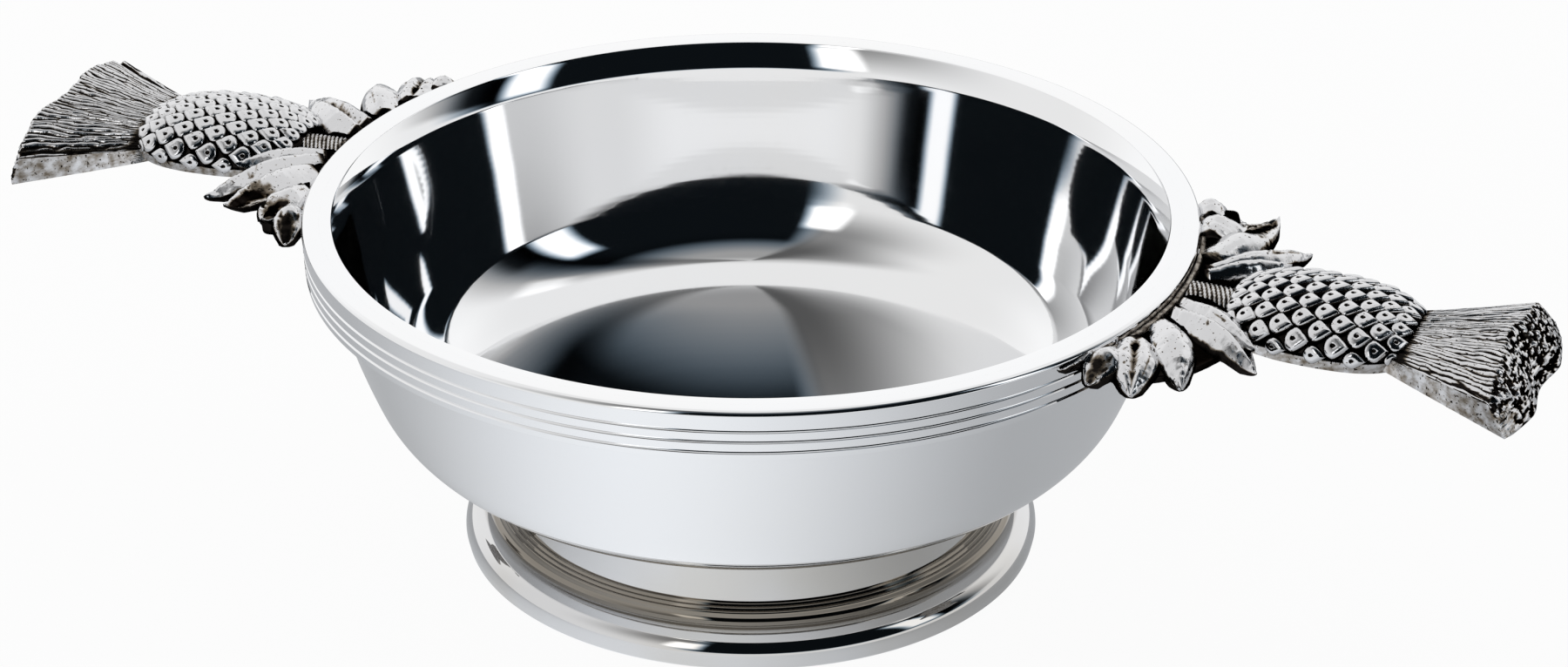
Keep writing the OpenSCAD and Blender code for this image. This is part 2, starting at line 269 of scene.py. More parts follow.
class Nodes:
    """Short hands for building a node tree."""

    def __init__(self, tree: bpy.types.NodeTree) -> None:
        """Starts from an empty tree.

        Args:
            tree: the tree to fill.
        """
        self.tree = tree
        tree.nodes.clear()

    def add(self, kind: str, inputs: dict | None = None, **settings: object) -> bpy.types.Node:
        """Adds a node.

        Args:
            kind: its type.
            inputs: for each input's name or number, a value, or a socket to link.
            settings: the node's own properties.

        Returns:
            The node.
        """
        node = self.tree.nodes.new(kind)
        for key, value in settings.items():
            setattr(node, key, value)
        for key, value in (inputs or {}).items():
            if isinstance(value, Socket):
                self.tree.links.new(value, node.inputs[key])
            else:
                node.inputs[key].default_value = value
        return node

    def math(self, operation: str, *values: object) -> Socket:
        """Adds a Math node.

        Args:
            operation: its operation.
            values: numbers or sockets.

        Returns:
            Its result.
        """
        return self.add("ShaderNodeMath", dict(enumerate(values)), operation=operation).outputs[0]

    def times(self, first: object, second: object) -> Socket:
        """Multiplies two numbers or sockets.

        Args:
            first: number or socket.
            second: number or socket.

        Returns:
            The product.
        """
        return self.math("MULTIPLY", first, second)

    def noise(self, place: Socket, scale: float, detail: float) -> Socket:
        """Adds a noise texture.

        Args:
            place: the coordinates.
            scale: bumps per metre.
            detail: number of finer layers.

        Returns:
            Its values.
        """
        inputs = {"Vector": place, "Scale": scale, "Detail": detail}
        return self.add("ShaderNodeTexNoise", inputs).outputs["Fac"]

    def metal(self, inputs: dict, height: Socket, strength: float, depth_m: float) -> None:
        """Ends the tree in a metal with a bumpy surface.

        Args:
            inputs: the shader's inputs, apart from its normal.
            height: height of the bumps.
            strength: how much they show.
            depth_m: their depth in metres.
        """
        bump = self.add("ShaderNodeBump", {"Strength": strength, "Distance": depth_m, "Height": height})
        shader = self.add("ShaderNodeBsdfPrincipled", inputs | {"Normal": bump.outputs[0]})
        self.add("ShaderNodeOutputMaterial", {0: shader.outputs[0]})

    def ramp(self, value: object, low: float, high: float, start: float = 0.0, end: float = 1.0
             ) -> Socket:
        """Adds a smooth Map Range node.

        Args:
            value: number or socket to map.
            low: value where the rise starts.
            high: value where it ends.
            start: result below low.
            end: result above high.

        Returns:
            Its result.
        """
        inputs = {0: value, 1: low, 2: high, 3: start, 4: end}
        return self.add("ShaderNodeMapRange", inputs, interpolation_type="SMOOTHSTEP").outputs[0]

    def blend(self, share: object, first: object, second: object) -> Socket:
        """Adds a colour Mix node.

        Args:
            share: share of the second colour.
            first: colour or socket.
            second: colour or socket.

        Returns:
            Its result.
        """
        inputs = {0: share, 6: first, 7: second}
        return self.add("ShaderNodeMix", inputs, data_type="RGBA").outputs[2]


def new_material(name: str) -> tuple[bpy.types.Material, Nodes]:
    """Adds an empty node material.

    Args:
        name: the material's name.

    Returns:
        The material and its nodes.
    """
    material = bpy.data.materials.new(name)
    material.use_nodes = True
    return material, Nodes(material.node_tree)


@dataclass(frozen=True)
class MirrorPewter:
    """Spun pewter, buffed to a mirror, with the faint rings of the lathe and a few buffing marks."""

    tint: Colour = (0.86, 0.865, 0.875, 1.0)
    warm_tint: Colour = (0.85, 0.83, 0.79, 1.0)
    shade_and_residue: Colour = (0.17, 0.145, 0.11, 1.0)
    shade_and_residue_z_m: tuple[Point, ...] = ()
    shade_and_residue_edge_m: float = 0.0002
    shade_and_residue_share: float = 0.85
    roughness: float = 0.035
    haze: float = 0.05
    ring_pitch_m: float = 0.0011
    ring_depth: float = 0.012
    wave_depth: float = 0.6

    def material(self, name: str, warmth: float) -> bpy.types.Material:
        """Makes the finish.

        Args:
            name: the material's name.
            warmth: share of the warm tint in its patches.

        Returns:
            The material.
        """
        material, n = new_material(name)
        place = n.add("ShaderNodeTexCoord").outputs["Object"]
        split = n.add("ShaderNodeSeparateXYZ", {0: place})
        across = n.math("POWER", split.outputs[0], 2.0)
        along = n.math("POWER", split.outputs[1], 2.0)
        radius = n.math("SQRT", n.math("ADD", across, along))
        reach = n.math("ADD", radius, split.outputs[2])
        rings = n.math("SINE", n.times(reach, 2 * math.pi / self.ring_pitch_m))
        share = n.times(n.ramp(n.noise(place, 28.0, 3.0), 0.4, 0.7), warmth)
        colour = n.blend(share, self.tint, self.warm_tint)
        # Dark bands of left-over polish and painted shade, at the heights given.
        for low, high in self.shade_and_residue_z_m:
            rise = n.ramp(split.outputs[2], low - self.shade_and_residue_edge_m, low)
            fall = n.ramp(split.outputs[2], high, high + self.shade_and_residue_edge_m, 1.0, 0.0)
            colour = n.blend(n.times(n.times(rise, fall), self.shade_and_residue_share), colour, self.shade_and_residue)
        rough = n.ramp(n.noise(place, 900.0, 2.0), 0.5, 0.8, self.roughness, self.haze)
        waves = n.times(n.noise(place, 60.0, 1.0), self.wave_depth)
        height = n.math("ADD", n.times(rings, self.ring_depth), waves)
        n.metal({"Base Color": colour, "Metallic": 1.0, "Roughness": rough}, height, 0.05, 0.0002)
        return material


@dataclass(frozen=True)
class AntiquedPewter:
    """Cast pewter: blackened with patina in its hollows, pitted, and rubbed bright on the high points; the same
    black also paints shade on the leaves' sides and undersides, the web and the floret's neck.
    """

    bright: Colour = (0.68, 0.68, 0.69, 1.0)
    brown: Colour = (0.2, 0.165, 0.125, 1.0)
    black: Colour = (0.012, 0.010, 0.009, 1.0)
    bright_roughness: float = 0.12
    black_roughness: float = 0.3
    dull_tint: Colour = (0.06, 0.06, 0.06, 1)
    smudge_share: float = 0.4
    pit_share: float = 0.5

    def material(self, name: str) -> bpy.types.Material:
        """Makes the finish.

        Args:
            name: the material's name.

        Returns:
            The material.
        """
        material, n = new_material(name)
        place = n.add("ShaderNodeTexCoord").outputs["Object"]
        # The attribute carries patina in hollows together with painted shade.
        recess = n.add("ShaderNodeAttribute", attribute_name="recess").outputs["Fac"]
        smudge, pits = n.noise(place, 700.0, 4.0), n.noise(place, 2600.0, 2.0)
        shift = n.times(n.math("SUBTRACT", smudge, 0.5), self.smudge_share)
        depth = n.math("ADD", recess, shift)
        depth = n.math("ADD", depth, n.ramp(pits, 0.62, 0.72, 0.0, self.pit_share))
        half = n.ramp(depth, 0.26, 0.48)
        full = n.ramp(depth, 0.4, 0.62)
        colour = n.blend(full, n.blend(half, self.bright, self.brown), self.black)
        rough = n.ramp(depth, 0.2, 0.7, self.bright_roughness, self.black_roughness)
        height = n.math("ADD", pits, n.times(smudge, 2.0))
        n.metal({"Base Color": colour, "Metallic": 1.0, "Roughness": rough,
                 "Specular Tint": n.blend(full, WHITE, self.dull_tint)}, height, 0.16, 0.0001)
        return material


@dataclass(frozen=True)
class SoftSolder:
    """Soft solder, dull, brownish and uneven."""

    grey: Colour = (0.42, 0.38, 0.33, 1.0)
    brown: Colour = (0.10, 0.075, 0.055, 1.0)

    def material(self, name: str) -> bpy.types.Material:
        """Makes the finish.

        Args:
            name: the material's name.

        Returns:
            The material.
        """
        material, n = new_material(name)
        place = n.add("ShaderNodeTexCoord").outputs["Object"]
        runs = n.noise(place, 900.0, 4.0)
        colour = n.blend(n.ramp(runs, 0.35, 0.65), self.brown, self.grey)
        rough = n.ramp(runs, 0.3, 0.7, 0.55, 0.35)
        n.metal({"Base Color": colour, "Metallic": 0.85, "Roughness": rough}, runs, 0.5, 0.0002)
        return material


@dataclass(frozen=True)
class Piece:
    """What a finished object needs to take its place in the frame."""

    obj: bpy.types.Object
    nodes: tuple[str, ...]
    slot: Slot
    material: bpy.types.Material

    def place(self) -> None:
        """Dresses the object, and lets it ride on the cup in place of its solids."""
        self.obj.data.materials.clear()
        self.obj.data.materials.append(self.material)
        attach(self.obj, "root")
        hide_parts(*self.nodes)
        LOG.info("%s: %d faces", self.obj.name, len(self.obj.data.polygons))


def lathe(name: str, outline: Outline, segments: int = 256, crease: float = 25.0) -> Obj:
    """Turns a closed outline round the cup's axis.

    Args:
        name: the object's name.
        outline: radius and height of each point in millimetres.
        segments: steps of the full turn.
        crease: angle in degrees above which an edge stays sharp.

    Returns:
        The turned object.
    """
    bpy.ops.object.select_all(action="DESELECT")
    start_r, start_z = outline[0]
    bpy.ops.mesh.primitive_plane_add(size=MM, location=(0, 0, 0))
    obj = bpy.context.object
    obj.name = name
    obj.data.name = name
    bpy.ops.object.mode_set(mode="EDIT")
    bpy.ops.mesh.select_mode(type="VERT")
    bpy.ops.mesh.select_all(action="SELECT")
    bpy.ops.mesh.merge(type="CENTER")
    bpy.ops.transform.translate(value=(start_r * MM, 0, start_z * MM))
    for (r0, z0), (r1, z1) in zip(outline, outline[1:]):
        move = {"value": ((r1 - r0) * MM, 0, (z1 - z0) * MM)}
        bpy.ops.mesh.extrude_vertices_move(TRANSFORM_OT_translate=move)
    bpy.ops.mesh.select_all(action="SELECT")
    bpy.ops.mesh.spin(steps=segments, angle=2 * math.pi, center=(0, 0, 0), axis=(0, 0, 1))
    bpy.ops.object.mode_set(mode="OBJECT")
    close_mesh(obj, crease)
    return obj


@dataclass
class Bowl:
    """The spun bowl and the reeded band round its rim, in millimetres."""

    rim_r: float = 57.5
    overall_h: float = 47.0
    rim_lean: float = 7.0
    side_r: float = 83.0
    side_lean: float = 23.0
    corner_r: float = 15.0
    corner_lean: float = 68.0
    lip_r: float = 0.06
    mouth_r: float = 53.72
    inside_leans: tuple[Point, ...] = (
        (0.06, 34.0), (2.8, 21.0), (3.4, 13.0), (6.0, 13.0), (12.0, 14.0), (18.0, 17.2), (21.7, 20.8))
    inside_corner_r: float = 13.5
    inside_corner_lean: float = 70.0
    ease_r: float = 41.0
    ease_lean: float = 80.0
    band_h: float = 6.5
    band_t: float = 2.2
    band_taper: float = 0.3
    band_edge_r: float = 0.7
    band_low_r: float = 0.25
    reed_count: int = 3
    reed_first: float = 2.6
    reed_pitch: float = 1.4
    reed_w: float = 0.4
    reed_depth: float = 0.25
    joint_gap: float = 0.05
    closed_gap: float = 0.001
    pole_r: float = 0.02

    def __post_init__(self) -> None:
        """Works out the centres of the bowl's three tangent arcs."""
        lean, side = math.radians(self.rim_lean), math.radians(self.side_lean)
        corner = math.radians(self.corner_lean)
        bowl_r = self.rim_r - self.band_t - self.joint_gap
        self.side_c = (bowl_r - self.side_r * math.cos(lean), self.overall_h + self.side_r * math.sin(lean))
        reach = self.side_r - self.corner_r
        self.corner_c = (self.side_c[0] + reach * math.cos(side), self.side_c[1] - reach * math.sin(side))
        self.corner_end = (self.corner_c[0] + self.corner_r * math.cos(corner),
                           self.corner_c[1] - self.corner_r * math.sin(corner))
        self.floor_r = self.corner_end[0] / math.cos(corner)
        self.floor_c = (0.0, self.corner_end[1] + self.floor_r * math.sin(corner))

    def lean_at(self, out: float, depth: float) -> float:
        """Lean of the side, moved out by a distance, at a depth below the rim.

        Args:
            out: distance outwards.
            depth: depth below the rim.

        Returns:
            The lean in degrees.
        """
        return math.degrees(math.asin((self.side_c[1] - self.overall_h + depth) / (self.side_r + out)))

    def outside(self) -> Outline:
        """The outer face from the rim to the axis: side, corner and floor.

        Returns:
            The points in order.
        """
        last = -90 + math.degrees(self.pole_r / self.floor_r)
        side = arc(self.side_c, self.side_r, -self.lean_at(0.0, 0.0), -self.side_lean, 40)
        corner = arc(self.corner_c, self.corner_r, -self.side_lean, -self.corner_lean, 40)
        floor = arc(self.floor_c, self.floor_r, -self.corner_lean, last, 30)
        return side + corner[1:] + floor[1:]

    def inside(self) -> Outline:
        """The inner face from the lip to the axis: flared lip, wall, corner, eased turn and floor.

        Returns:
            The points in order.
        """
        depths, leans = zip(*self.inside_leans)
        depth = np.linspace(depths[0], depths[-1], 110)
        lean = np.radians(np.interp(depth, depths, leans))
        inward = np.tan((lean[1:] + lean[:-1]) / 2) * np.diff(depth)
        radius = self.mouth_r - np.concatenate([[0.0], np.cumsum(inward)])
        wall = [(float(r), float(self.overall_h - d)) for r, d in zip(radius, depth)]
        corner = self.turn_from(wall[-1], self.inside_corner_r, leans[-1], self.inside_corner_lean, 50)
        ease = self.turn_from(corner[-1], self.ease_r, self.inside_corner_lean, self.ease_lean, 24)
        floor_r = ease[-1][0] / math.cos(math.radians(self.ease_lean))
        last = 90 - math.degrees(self.pole_r / floor_r)
        return wall + corner + ease + self.turn_from(ease[-1], floor_r, self.ease_lean, last, 40)

    @staticmethod
    def turn_from(start: Point, radius: float, lean: float, end_lean: float, count: int) -> Outline:
        """A tangent arc that carries the inner face on from a point.

        Args:
            start: the point it starts at.
            radius: radius of the arc.
            lean: lean at the start, in degrees.
            end_lean: lean at the end, in degrees.
            count: number of steps.

        Returns:
            The points after the start.
        """
        turn = math.radians(lean)
        centre = (start[0] - radius * math.cos(turn), start[1] + radius * math.sin(turn))
        return arc(centre, radius, -lean, -end_lean, count)[1:]

    def under_z(self, r: float) -> float:
        """Height of the bowl's underside.

        Args:
            r: radius in millimetres.

        Returns:
            The height.
        """
        if r <= self.corner_end[0]:
            return self.floor_c[1] - math.sqrt(self.floor_r ** 2 - r * r)
        return self.corner_c[1] - math.sqrt(self.corner_r ** 2 - (r - self.corner_c[0]) ** 2)

    def build_bowl(self) -> Obj:
        """Turns the bowl.

        Returns:
            The bowl's object.
        """
        inside = self.inside()
        lip_c = (inside[0][0] + self.lip_r, self.overall_h - self.lip_r)
        lip = arc(lip_c, self.lip_r, 180, 90, 3)
        outside = self.outside()
        bottom = [(0.0, outside[-1][1])]
        middle = [(0.0, inside[-1][1])]
        return lathe("bowl_spun", middle + inside[::-1] + lip[1:] + outside + bottom)

    def build_band(self) -> Obj:
        """Turns the rim band with its incised reeds.

        Returns:
            The band's object.
        """
        edge_c = (self.rim_r - self.band_edge_r, self.overall_h - self.band_edge_r)
        outline = arc(edge_c, self.band_edge_r, 90, 0, 10)
        for i in range(self.reed_count):
            z = self.overall_h - self.reed_first - i * self.reed_pitch
            r = self.rim_r - self.band_taper * (self.overall_h - z) / self.band_h
            half = self.reed_w / 2
            slope_r = r - 0.8 * self.reed_depth
            outline += [(r, z + half), (slope_r, z + 0.25 * half), (r - self.reed_depth, z),
                        (slope_r, z - 0.25 * half), (r, z - half)]
        low_z = self.overall_h - self.band_h
        low_c = (self.rim_r - self.band_taper - self.band_low_r, low_z + self.band_low_r)
        outline += arc(low_c, self.band_low_r, 0, -90, 5)
        gap = self.closed_gap
        low, top = self.lean_at(gap, self.band_h), self.lean_at(gap, 0)
        outline += arc(self.side_c, self.side_r + gap, -low, -top, 8)
        return lathe("rim_band_reeded", outline + [outline[0]])


@dataclass
class Foot:
    """The spun ring foot and the solder that holds it, in millimetres."""

    bowl: Bowl
    foot_r: float = 37.9
    edge_h: float = 1.4
    edge_taper: float = 0.25
    roll_r: float = 3.0
    flat_w: float = 0.1
    cove_r: float = 1.2
    step_count: int = 3
    step_rise: float = 0.33
    step_going: float = 0.53
    riser_lean: float = 0.16
    neck_taper: float = 0.6
    wall_t: float = 1.8
    ring_w: float = 3.8
    hollow_h: float = 1.3
    fillet: float = 1.0
    joint_gap: float = 0.05

    def __post_init__(self) -> None:
        """Works out the levels and radii from the table up."""
        self.cove_x = self.foot_r - self.roll_r - self.flat_w
        self.step_x = self.cove_x - self.cove_r
        self.step_z = self.edge_h + self.roll_r + self.cove_r
        self.neck_top_r = self.step_x - self.step_count * self.step_going - self.neck_taper
        self.neck_in_r = self.neck_top_r - self.wall_t

    def shade_and_residue_z_m(self) -> tuple[Point, ...]:
        """Heights of the dark bands of left-over polish and painted shade: in the cove and turned steps, and at
        the neck's top under the bowl.

        Returns:
            Lower and upper height of each band, in metres.
        """
        top = self.bowl.under_z(self.neck_top_r) - self.joint_gap
        steps_top = self.step_z + self.step_count * self.step_rise
        return ((self.step_z - 1.1) * MM, steps_top * MM), ((top - 0.3) * MM, (top + 2.0) * MM)

    def build_foot(self) -> Obj:
        """Turns the foot.

        Returns:
            The foot's object.
        """
        base_r = self.foot_r - self.edge_taper
        outline = [(base_r - 0.3, 0.0), (base_r, 0.3)]
        outline += arc((self.foot_r - self.roll_r, self.edge_h), self.roll_r, 0, 90, 28)
        outline += arc((self.cove_x, self.step_z), self.cove_r, 270, 180, 10)
        for i in range(self.step_count):
            z = self.step_z + (i + 1) * self.step_rise
            x = self.step_x - i * self.step_going
            edge_x = x - self.riser_lean
            outline += [(edge_x + 0.03, z - 0.05), (edge_x - 0.03, z), (x - self.step_going, z)]
        outline += [(r, self.bowl.under_z(r) - self.joint_gap) for r in (self.neck_top_r, self.neck_in_r)]
        hollow_r = base_r - self.ring_w
        neck_z = self.step_z + self.step_count * self.step_rise
        outline += [(self.neck_in_r + self.neck_taper, neck_z), (hollow_r, self.hollow_h), (hollow_r, 0.0)]
        return lathe("foot_spun", outline + [outline[0]])

    def build_solder(self) -> Obj:
        """Turns the solder fillet inside the foot.

        Returns:
            The fillet's object.
        """
        out_r = self.neck_in_r - self.joint_gap
        in_r = out_r - self.fillet
        top = self.bowl.under_z(out_r) - self.joint_gap
        low = top - self.fillet
        hollow = arc((in_r, low), self.fillet, 0, 75, 6)
        outline = [(out_r, low), (out_r, top), (in_r, self.bowl.under_z(in_r) - self.joint_gap)]
        outline += hollow[::-1][1:-1]
        return lathe("foot_solder_run", outline + [outline[0]], crease=60.0)


@dataclass(frozen=True)
class Leaf:
    """One leaf of a spray, in millimetres and degrees."""

    root: float
    heading: float
    length: float
    width: float
    tip_h: float
    bend: float = 0.0
    crest_at: float = 0.0
    ridge: float = 0.5
    fold: float = 0.0
    fold_at: float = 0.0
    hollow: float = 0.0


@dataclass
class Handle:
    """One cast thistle handle. Its own frame has x from the rim and z from its flat back, in millimetres."""

    side: Side
    bowl: Bowl
    tilt: float
    back_depth: float
    floret_twist: float
    floret_rake: float
    rim_groove: float
    front_leaf_raise: float
    near_web_share: float
    seam_w: float = 0.8
    pad_h: float = 2.6
    pad_w: float = 4.5
    pad_l: float = 47.0
    stem_r: float = 3.1
    stem_lift: float = 0.3
    rope_turns: float = 10.0
    rope_rise: float = 0.35
    rope_slant: float = 24.0
    bulb_start: float = 6.0
    bulb_l: float = 24.5
    bulb_w: float = 18.6
    bulb_h: float = 5.34
    bulb_fullness: float = 2.5
    flange_h: float = 1.3
    flange_lip: float = 0.4
    scale_rows: int = 11
    scale_l: float = 3.4
    scale_w: float = 3.35
    scale_h: float = 1.0
    row_crowding: float = 0.12
    eye_at: float = -0.3
    scale_belly: float = 0.12
    scale_root: float = 0.6
    scale_tilt: float = 0.32
    edge_scale_share: float = 0.72
    row_span: float = 0.97
    scale_rings: tuple[Point, ...] = (
        (0.98, 0.0), (0.95, 0.32), (0.91, 0.52), (0.84, 0.7), (0.74, 0.84), (0.6, 0.94), (0.44, 0.99),
        (0.3, 1.0), (0.21, 0.99), (0.17, 0.88), (0.11, 0.74), (0.04, 0.7))
    leaf_root_h: float = 3.5
    leaf_arch: float = 0.9
    leaf_widest_at: float = 0.42
    leaf_rough: float = 0.12
    vein_depth: float = 0.14
    leaf_lift: float = 0.3
    leaf_root_gap: float = 1.5
    web_reach: float = 11.0
    web_l: float = 46.0
    web_far_share: float = 0.62
    web_h: float = 2.6
    web_edge_h: float = 1.2
    web_lift: float = 0.15
    floret_l: float = 19.8
    floret_tuck: float = 3.5
    floret_lift: float = 0.4
    floret_w: float = 30.4
    floret_neck_w: float = 14.6
    floret_flare: float = 1.05
    floret_h: float = 6.6
    floret_neck_h: float = 2.6
    floret_crown: float = 0.42
    crown_power: float = 3.0
    floret_droop: float = 1.5
    droop_power: float = 0.8
    floret_bow: float = 2.4
    floret_notch: float = 1.4
    notch_at: float = -0.05
    notch_w: float = 0.5
    side_rake_share: float = 0.58
    floret_draft: float = 0.8
    strand_count: int = 36
    strand_depth: float = 0.5
    tuft_depth: float = 0.35
    floret_swell: float = 0.33
    stipple_depth: float = 0.2
    near_leaves: tuple[Leaf, ...] = (
        Leaf(4.0, 24, 14.2, 5.6, 2.6, bend=24, crest_at=0.3),
        Leaf(6.6, 15, 15.0, 8.2, 0.9, bend=38, crest_at=0.25, ridge=0.6, fold=0.5, fold_at=-0.1),
        Leaf(11.0, 55, 13.6, 6.2, 0.8, bend=12, crest_at=-0.2, ridge=0.3),
        Leaf(16.2, 76, 11.3, 6.6, 0.8, crest_at=0.1, ridge=0.3, fold=1.3, fold_at=0.05),
        Leaf(20.5, 104, 6.6, 5.2, 1.0, ridge=0.3, hollow=0.9),
    )
    far_leaves: tuple[Leaf, ...] = (
        Leaf(4.0, 36, 12.6, 4.8, 2.4, bend=8, crest_at=-0.3),
        Leaf(5.2, 49, 17.8, 6.2, 0.6, bend=10, crest_at=-0.3, ridge=0.6, hollow=0.3),
        Leaf(8.6, 68, 16.8, 7.4, 2.6, bend=10, crest_at=-0.3, ridge=0.35, hollow=1.3),
        Leaf(14.5, 84, 10.6, 7.0, 1.5, bend=8, crest_at=0.2, ridge=0.3, hollow=1.3),
        Leaf(20.5, 109, 7.6, 4.8, -0.4, ridge=0.3, hollow=1.0),
    )

    def __post_init__(self) -> None:
        """Works out the places along the handle."""
        self.name = f"handle_{self.side.name.lower()}"
        self.bulb_half = self.bulb_l / 2
        self.bulb_mid = self.bulb_start + self.bulb_half
        self.floret_start = self.bulb_start + self.bulb_l - self.floret_tuck
        self.back_z = self.bowl.overall_h - self.back_depth

    def to_cup(self) -> Matrix:
        """The move from the handle's frame to the cup's, in metres.

        Returns:
            The matrix.
        """
        lift = Matrix.Translation(Vector((self.bowl.rim_r, 0, self.back_z)) * MM)
        turn = Matrix.Rotation(math.radians(self.side.value), 4, "Z")
        return turn @ lift @ Matrix.Rotation(math.radians(self.tilt), 4, "Y")

    def girth(self, x: Array) -> Array:
        """Share of the bulb's full width.

        Args:
            x: place along the bulb, from -1 to 1.

        Returns:
            The share at each place.
        """
        return np.maximum(0, 1 - np.abs(x) ** self.bulb_fullness) ** (1 / self.bulb_fullness)

    def dome(self, x: Array, turn: Array) -> tuple[Array, Array, Array]:
        """Points on the bulb's dome.

        Args:
            x: place along the bulb, from -1 to 1.
            turn: angle from the top, in degrees.

        Returns:
            x, y and z in the handle's frame.
        """
        half = self.bulb_w / 2 * self.girth(x)
        rise = (self.bulb_h - self.flange_h) * self.girth(x)
        angle = np.radians(turn)
        return self.bulb_mid + self.bulb_half * x, half * np.sin(angle), self.flange_h + rise * np.cos(angle)

    def build_bulb(self) -> Obj:
        """Shapes the bulb's dark ground and the plain flange that it stands on.

        Returns:
            The bulb's object.
        """
        obj, u, v = add_grid(f"{self.name}_bulb", 60, 64)
        x = np.sin((u - 0.5) * math.pi)
        half = self.bulb_w / 2 * self.girth(x) + self.flange_lip
        at, y, z = self.dome(x, np.interp(v, [0.1, 0.8], [-90, 90]))
        y = np.where(v < 0.1, -half, np.where(v > 0.8, half, y))
        z = np.where(v < 0.1, v / 0.1 * self.flange_h, np.where(v > 0.8, (0.9 - v) / 0.1 * self.flange_h, z))
        under = v > 0.9
        y = np.where(under, half * np.interp(v, [0.9, 1.0], [1, -1]), y)
        z = np.where(under, 0.0, z)
        side = (v < 0.1) | (v > 0.8)
        speckle = 0.38 + 0.1 * grain(at, y, z, 2.5)
        return shape_grid(obj, (at, y, z), 40, np.where(side, speckle, 1.0))

    def model_scale(self) -> Obj:
        """Models one scale: a plump shield, rounded towards the bowl, pointed away from it, with an eye.

        Returns:
            A scale of half length 1, half width 1 and height 1, pointing along x.
        """
        bpy.ops.object.select_all(action="DESELECT")
        bpy.ops.mesh.primitive_circle_add(vertices=32, radius=1, fill_type="NGON")
        obj = bpy.context.object
        for point in obj.data.vertices:
            x, y, _ = point.co
            past = x + self.scale_belly
            if past > 0:
                half = 1 - (past / (1 + self.scale_belly)) ** 1.2
            else:
                half = math.sqrt(1 - (past / (1 - self.scale_belly)) ** 2)
            point.co = (x, math.copysign(half, y), -self.scale_root)
        bpy.ops.object.mode_set(mode="EDIT")
        bpy.ops.mesh.select_all(action="SELECT")
        size, level = 1.0, -self.scale_root
        for width, height in self.scale_rings:
            bpy.ops.mesh.extrude_region_move(TRANSFORM_OT_translate={"value": (0, 0, height - level)})
            shrink = width / size
            bpy.ops.transform.resize(value=(shrink, shrink, 1), center_override=(self.eye_at, 0, 0))
            size, level = width, height
        bpy.ops.object.mode_set(mode="OBJECT")
        points = np.array([point.co for point in obj.data.vertices])
        eye = np.hypot((points[:, 0] - self.eye_at) / 1.15, points[:, 1])
        recess = np.maximum(smoothstep(0.66, 0.3, points[:, 2]), smoothstep(0.2, 0.14, eye))
        for point in obj.data.vertices:
            x, y, z = point.co
            point.co = (x, y, z * (1 + self.scale_tilt * x) if z > 0 else z)
        set_patina_and_shade(obj, recess)
        bpy.ops.object.shade_smooth()
        return obj

    def dome_turns(self, shares: Array) -> Array:
        """Angles from the dome's top that divide its girth evenly.

        Args:
            shares: places round the dome, from -1 to 1, by the length of its arc.

        Returns:
            The angles in degrees.
        """
        turns = np.linspace(-90, 90, 361)
        _, y, z = self.dome(np.zeros(361), turns)
        run = np.concatenate([[0], np.cumsum(np.hypot(np.diff(y), np.diff(z)))])
        return np.interp(shares, run / run[-1] * 2 - 1, turns)

    def build_scales(self) -> Obj:
        """Models one scale and copies it over the dome in staggered rows.

        Returns:
            All the scales as one object.
        """
        model = self.model_scale()
        copies = []
        step = 0.01
        full, lapped = np.array([-6.8, -5, -3, -1, 1, 3, 5, 6.8]) / 7, np.linspace(-6, 6, 7) / 7
        for row in range(1, self.scale_rows):
            t = 2 * row / self.scale_rows - 1
            x = t * (1 + self.row_crowding - self.row_crowding * t * t) * self.row_span
            for turn in self.dome_turns(full if row % 2 == 0 else lapped):
                here = np.array(self.dome(np.array(x), np.array(turn)))
                along = np.array(self.dome(np.array(x + step), np.array(turn))) - here
                round_ = np.array(self.dome(np.array(x), np.array(turn + 1))) - here
                along /= np.linalg.norm(along)
                normal = np.cross(along, round_)
                normal /= np.linalg.norm(normal)
                across = np.cross(normal, along)
                copy = model.copy()
                copy.data = model.data.copy()
                bpy.context.collection.objects.link(copy)
                shrink = 0.3 + 0.7 * float(self.girth(np.array(x)))
                shrink *= 1 if abs(turn) < 80 else self.edge_scale_share
                long, wide = self.scale_l / 2 * (0.7 + 0.3 * shrink), self.scale_w / 2 * shrink
                columns = along * long, across * wide, normal * (self.scale_h * shrink), here
                matrix = Matrix([*zip(*columns), (0, 0, 0, 1)])
                copy.data.transform(Matrix.Scale(MM, 4) @ matrix)
                copies.append(copy)
        bpy.data.objects.remove(model)
        return join(copies, f"{self.name}_scales")

